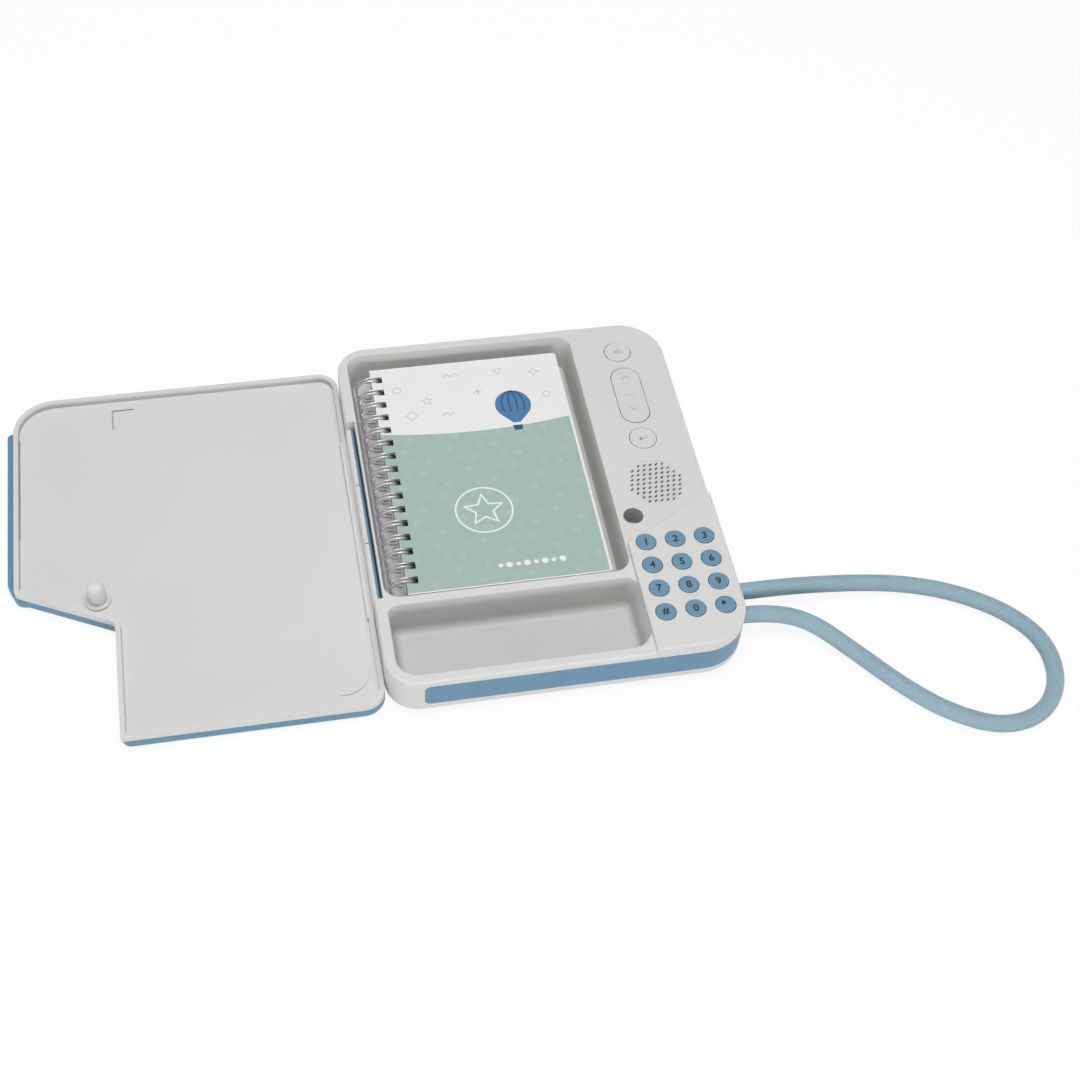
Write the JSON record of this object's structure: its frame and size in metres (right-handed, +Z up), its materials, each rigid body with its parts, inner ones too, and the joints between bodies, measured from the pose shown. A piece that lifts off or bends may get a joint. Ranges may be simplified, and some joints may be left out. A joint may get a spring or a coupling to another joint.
{
  "type": "electronic secret diary",
  "caption": "Desk-top secret diary: keypad case with a notebook tray under a hinged lid, a pen tray, a speaker, a latch with a lock and a cord loop.",
  "frame": {"origin": "on the table, at the middle of the opened object's length and depth, 0.8 mm to the left of the lid's hinge axis; the cord isn't counted", "axes": "+X from the opened lid towards the keypad side, +Y to the back, +Z up"},
  "size_m": [0.4751, 0.2578, 0.0273],
  "materials": {
    "shell_grey": "satin moulded",
    "latch_grey": "satin moulded",
    "button_grey": "satin moulded",
    "blue": "satin moulded",
    "key_blue": "satin, dark symbols",
    "steel": "zinc plated",
    "rubber_black": "matt",
    "silicone": "matt",
    "board_green": "solder mask",
    "door_grey": "satin moulded",
    "cells": "plain printed sleeve",
    "contacts": "nickel plated",
    "speaker_metal": "zinc plated",
    "speaker_paper": "pressed paper",
    "lock_plastic": "satin",
    "coil": "steel can",
    "cord_blue": "braided",
    "stop_dark": "satin",
    "cover_card": "laminated card",
    "paper": "uncoated paper",
    "wire": "lacquered wire"
  },
  "bodies": {
    "case": {"top_case": "shell_grey", "bottom_case": "shell_grey", "side_band": "blue", "case_screws": "steel", "rubber_feet": "rubber_black", "battery_door": "door_grey", "door_screw": "steel", "batteries": "cells", "battery_contacts": "contacts", "keypad_board": "board_green", "keypad_rubber": "silicone", "main_board": "board_green", "button_rubber": "silicone", "speaker_frame": "speaker_metal", "speaker_cone": "speaker_paper", "lock_coil": "coil", "lock_spring": "contacts", "hinge_pin": "steel", "cord_loop": "cord_blue", "cord_stops": "stop_dark"},
    "lid": {"lid_cover": "blue", "lid_frame": "shell_grey", "latch_pin": "latch_grey"},
    "slider": {"lock_slider": "lock_plastic"},
    "rocker": {"volume_rocker": "button_grey"},
    "up_button": {"button_up": "button_grey"},
    "low_button": {"button_low": "button_grey"},
    "book": {"book_back_cover": "cover_card", "book_pages": "paper", "wire_binding": "wire"},
    "book_cover": {"book_front_cover": "cover_card"},
    "key_body_1": {"key_1": "key_blue"},
    "key_body_2": {"key_2": "key_blue"},
    "key_body_3": {"key_3": "key_blue"},
    "key_body_4": {"key_4": "key_blue"},
    "key_body_5": {"key_5": "key_blue"},
    "key_body_6": {"key_6": "key_blue"},
    "key_body_7": {"key_7": "key_blue"},
    "key_body_8": {"key_8": "key_blue"},
    "key_body_9": {"key_9": "key_blue"},
    "key_body_hash": {"key_hash": "key_blue"},
    "key_body_0": {"key_0": "key_blue"},
    "key_body_star": {"key_star": "key_blue"}
  },
  "joints": [
    {"name": "lid_hinge", "type": "hinge", "parent": "case", "child": "lid", "pos_m": [0.0008, 0, 0.0168], "axis": [0, -1, 0], "range_deg": [-180, 0]},
    {"name": "lock_slide", "type": "slide", "parent": "case", "child": "slider", "axis": [0, 1, 0], "range_m": [-0.0029, 0], "deforming": ["lock_spring"]},
    {"name": "up_button_press", "type": "slide", "parent": "case", "child": "up_button", "axis": [0, 0, 1], "range_m": [-0.0008, 0], "stiffness_N_per_m": 800, "deforming": ["button_rubber"]},
    {"name": "low_button_press", "type": "slide", "parent": "case", "child": "low_button", "axis": [0, 0, 1], "range_m": [-0.0008, 0], "stiffness_N_per_m": 800, "deforming": ["button_rubber"]},
    {"name": "rocker_tip", "type": "hinge", "parent": "case", "child": "rocker", "pos_m": [0.1415, 0.05275, 0.0204], "axis": [1, 0, 0], "range_deg": [-3, 3], "stiffness_Nm_per_rad": 0.4, "deforming": ["button_rubber"]},
    {"name": "book_lift", "type": "slide", "parent": "case", "child": "book", "axis": [0, 0, 1], "range_m": [0, 0.04]},
    {"name": "book_cover_turn", "type": "hinge", "parent": "book", "child": "book_cover", "pos_m": [0.0147, 0, 0.01352], "axis": [0, -1, 0], "range_deg": [0, 105]},
    {"name": "key_press_1", "type": "slide", "parent": "case", "child": "key_body_1", "axis": [0, 0, 1], "range_m": [-0.0008, 0], "stiffness_N_per_m": 800, "deforming": ["keypad_rubber"]},
    {"name": "key_press_2", "type": "slide", "parent": "case", "child": "key_body_2", "axis": [0, 0, 1], "range_m": [-0.0008, 0], "stiffness_N_per_m": 800, "deforming": ["keypad_rubber"]},
    {"name": "key_press_3", "type": "slide", "parent": "case", "child": "key_body_3", "axis": [0, 0, 1], "range_m": [-0.0008, 0], "stiffness_N_per_m": 800, "deforming": ["keypad_rubber"]},
    {"name": "key_press_4", "type": "slide", "parent": "case", "child": "key_body_4", "axis": [0, 0, 1], "range_m": [-0.0008, 0], "stiffness_N_per_m": 800, "deforming": ["keypad_rubber"]},
    {"name": "key_press_5", "type": "slide", "parent": "case", "child": "key_body_5", "axis": [0, 0, 1], "range_m": [-0.0008, 0], "stiffness_N_per_m": 800, "deforming": ["keypad_rubber"]},
    {"name": "key_press_6", "type": "slide", "parent": "case", "child": "key_body_6", "axis": [0, 0, 1], "range_m": [-0.0008, 0], "stiffness_N_per_m": 800, "deforming": ["keypad_rubber"]},
    {"name": "key_press_7", "type": "slide", "parent": "case", "child": "key_body_7", "axis": [0, 0, 1], "range_m": [-0.0008, 0], "stiffness_N_per_m": 800, "deforming": ["keypad_rubber"]},
    {"name": "key_press_8", "type": "slide", "parent": "case", "child": "key_body_8", "axis": [0, 0, 1], "range_m": [-0.0008, 0], "stiffness_N_per_m": 800, "deforming": ["keypad_rubber"]},
    {"name": "key_press_9", "type": "slide", "parent": "case", "child": "key_body_9", "axis": [0, 0, 1], "range_m": [-0.0008, 0], "stiffness_N_per_m": 800, "deforming": ["keypad_rubber"]},
    {"name": "key_press_hash", "type": "slide", "parent": "case", "child": "key_body_hash", "axis": [0, 0, 1], "range_m": [-0.0008, 0], "stiffness_N_per_m": 800, "deforming": ["keypad_rubber"]},
    {"name": "key_press_0", "type": "slide", "parent": "case", "child": "key_body_0", "axis": [0, 0, 1], "range_m": [-0.0008, 0], "stiffness_N_per_m": 800, "deforming": ["keypad_rubber"]},
    {"name": "key_press_star", "type": "slide", "parent": "case", "child": "key_body_star", "axis": [0, 0, 1], "range_m": [-0.0008, 0], "stiffness_N_per_m": 800, "deforming": ["keypad_rubber"]}
  ]
}
